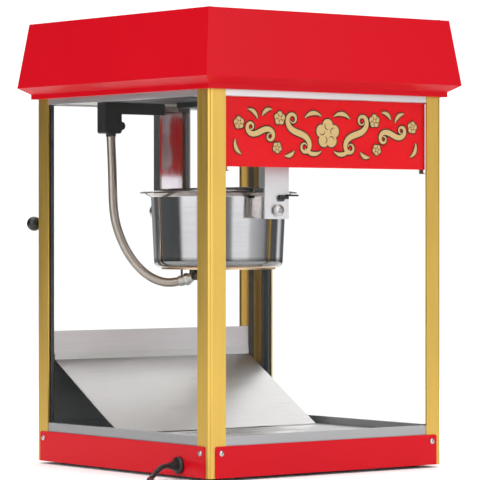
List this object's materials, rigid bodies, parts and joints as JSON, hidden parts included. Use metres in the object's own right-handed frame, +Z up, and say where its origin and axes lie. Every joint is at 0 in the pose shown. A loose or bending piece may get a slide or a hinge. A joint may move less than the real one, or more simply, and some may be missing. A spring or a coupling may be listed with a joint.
{
  "type": "popcorn maker",
  "caption": "Countertop popcorn maker: glass cabinet with a red dome and skirts, gold corner posts, and a tilting steel kettle with half-moon lids hung from the ceiling.",
  "frame": {"origin": "on the counter, at the middle of the footprint, between the undersides of the four rubber feet", "axes": "+Z up, -Y towards the customer's side with the sign, +Y towards the operator's side with the door, +X to the right seen from the customer's side"},
  "size_m": [0.6208, 0.8555, 0.7436],
  "materials": {
    "red_paint": "glossy powder coat",
    "gold_anodised": "satin gold anodised",
    "bright_aluminium": "brushed",
    "polished_steel": "polished, brushed around",
    "brushed_steel": "brushed",
    "clear_glass": "clear",
    "sign_red": "glossy",
    "black_plastic": "fine grain",
    "black_metal": "satin",
    "black_rubber": "matte",
    "chrome_screw": "polished",
    "white_enamel": "satin",
    "lamp_glass": "frosted",
    "white_ceramic": "glazed",
    "heat_steel": "heat tinted"
  },
  "bodies": {
    "cabinet": {"corner_posts": "gold_anodised", "skirt_front": "red_paint", "skirt_back": "red_paint", "side_skirts": "red_paint", "case_screws": "chrome_screw", "sill_rails": "bright_aluminium", "top_rails": "bright_aluminium", "base_pan": "brushed_steel", "rubber_feet": "black_rubber", "deck": "brushed_steel", "back_panel": "brushed_steel", "rear_apron": "brushed_steel", "side_glasses": "clear_glass", "front_glass": "clear_glass", "sign_panel": "sign_red", "dome_shell": "red_paint", "switch_bezels": "black_plastic", "ceiling_panel": "white_enamel", "motor_plate": "black_metal", "gearbox": "bright_aluminium", "motor": "black_metal", "lamp_socket": "white_ceramic", "lamp_bulb": "lamp_glass", "front_hanger": "bright_aluminium", "back_hanger": "polished_steel", "receptacle_box": "black_plastic", "receptacle_bracket": "black_metal", "hinge_brackets": "brushed_steel", "strain_relief": "black_rubber", "power_cord": "black_rubber", "cord_tail": "black_rubber", "cord_coil": "black_rubber", "power_plug": "black_rubber", "conduit": "brushed_steel", "box_fitting": "brushed_steel"},
    "door": {"door_panel": "clear_glass", "door_stile": "gold_anodised", "door_knob": "black_plastic", "hinge_leaves": "brushed_steel"},
    "kettle": {"kettle_bowl": "polished_steel", "kettle_base": "heat_steel", "terminal_cover": "polished_steel", "front_bracket": "polished_steel", "back_bracket": "polished_steel", "lid_crossbar": "polished_steel", "tilt_lever": "brushed_steel", "handle_knob": "black_plastic", "kettle_fitting": "brushed_steel"},
    "lid_left": {"lid_left": "polished_steel"},
    "lid_right": {"lid_right": "polished_steel"},
    "stirrer": {"stirrer_shaft": "brushed_steel", "stirrer_blades": "brushed_steel"},
    "drive_coupling": {"drive_coupling": "brushed_steel"},
    "pivot_knob": {"pivot_knob": "polished_steel"},
    "lock_lever": {"lock_lever": "black_plastic"},
    "rocker_light": {"rocker_light": "black_plastic"},
    "rocker_motor": {"rocker_motor": "black_plastic"},
    "rocker_kettle": {"rocker_kettle": "black_plastic"},
    "crumb_drawer": {"crumb_drawer": "brushed_steel", "drawer_pull": "black_plastic"}
  },
  "joints": [
    {"name": "kettle_tilt", "type": "hinge", "parent": "cabinet", "child": "kettle", "pos_m": [-0.04, 0, 0.426], "axis": [0, 1, 0], "range_deg": [0, 100], "deforming": ["conduit"]},
    {"name": "lid_left_hinge", "type": "hinge", "parent": "kettle", "child": "lid_left", "pos_m": [-0.054, 0, 0.461], "axis": [0, 1, 0], "range_deg": [0, 85]},
    {"name": "lid_right_hinge", "type": "hinge", "parent": "kettle", "child": "lid_right", "pos_m": [-0.026, 0, 0.461], "axis": [0, -1, 0], "range_deg": [0, 85]},
    {"name": "stirrer_spin", "type": "hinge", "parent": "kettle", "child": "stirrer", "pos_m": [-0.04, 0, 0.4], "axis": [0, 0, 1], "continuous": true},
    {"name": "coupling_spin", "type": "hinge", "parent": "cabinet", "child": "drive_coupling", "pos_m": [-0.04, 0, 0.59], "axis": [0, 0, 1], "continuous": true},
    {"name": "door_hinge", "type": "hinge", "parent": "cabinet", "child": "door", "pos_m": [0.234, 0.252, 0.415], "axis": [0, 0, -1], "range_deg": [0, 115]},
    {"name": "plunger_pull", "type": "slide", "parent": "cabinet", "child": "pivot_knob", "axis": [0, -1, 0], "range_m": [0, 0.008], "stiffness_N_per_m": 500, "springref_m": -0.002},
    {"name": "lock_lever_turn", "type": "hinge", "parent": "cabinet", "child": "lock_lever", "pos_m": [-0.033, -0.157, 0.446], "axis": [0, -1, 0], "range_deg": [0, 90]},
    {"name": "drawer_slide", "type": "slide", "parent": "cabinet", "child": "crumb_drawer", "axis": [0, 1, 0], "range_m": [0, 0.25]},
    {"name": "rocker_light_press", "type": "hinge", "parent": "cabinet", "child": "rocker_light", "pos_m": [0, 0.25881, 0.685], "axis": [1, 0, 0], "range_deg": [0, 16]},
    {"name": "rocker_motor_press", "type": "hinge", "parent": "cabinet", "child": "rocker_motor", "pos_m": [0, 0.25881, 0.685], "axis": [1, 0, 0], "range_deg": [0, 16]},
    {"name": "rocker_kettle_press", "type": "hinge", "parent": "cabinet", "child": "rocker_kettle", "pos_m": [0, 0.25881, 0.685], "axis": [1, 0, 0], "range_deg": [0, 16]}
  ],
  "couplings": [
    {"joint": "coupling_spin", "follows": "stirrer_spin", "ratio": 1}
  ]
}
